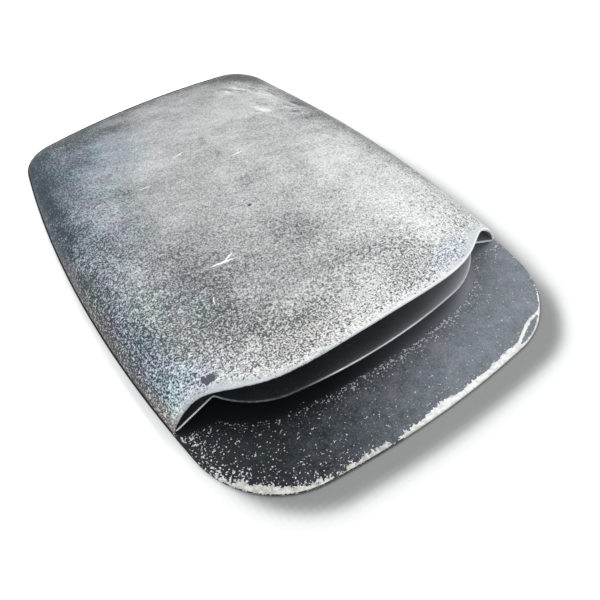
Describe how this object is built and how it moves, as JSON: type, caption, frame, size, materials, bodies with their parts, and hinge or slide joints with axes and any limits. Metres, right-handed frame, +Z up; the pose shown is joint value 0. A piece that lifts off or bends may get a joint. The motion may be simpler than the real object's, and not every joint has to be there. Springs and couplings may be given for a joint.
{
  "type": "bonnet scoop",
  "caption": "Low domed air scoop for a car bonnet: worn painted hood with a wide slot mouth and inner lip above a flat rounded front flange, open underneath.",
  "frame": {"origin": "on the underside plane, at the middle of the outline's width and length", "axes": "+X across the scoop, +Y from the mouth to the rear edge, +Z up; the mouth faces -Y"},
  "size_m": [0.38, 0.526, 0.046],
  "materials": {
    "worn_paint": "old dark blue-grey paint rubbed through to pale grey on the hood, speckled, chipped to white along the edges"
  },
  "bodies": {
    "root": {"scoop_shell": "worn_paint"}
  },
  "joints": []
}
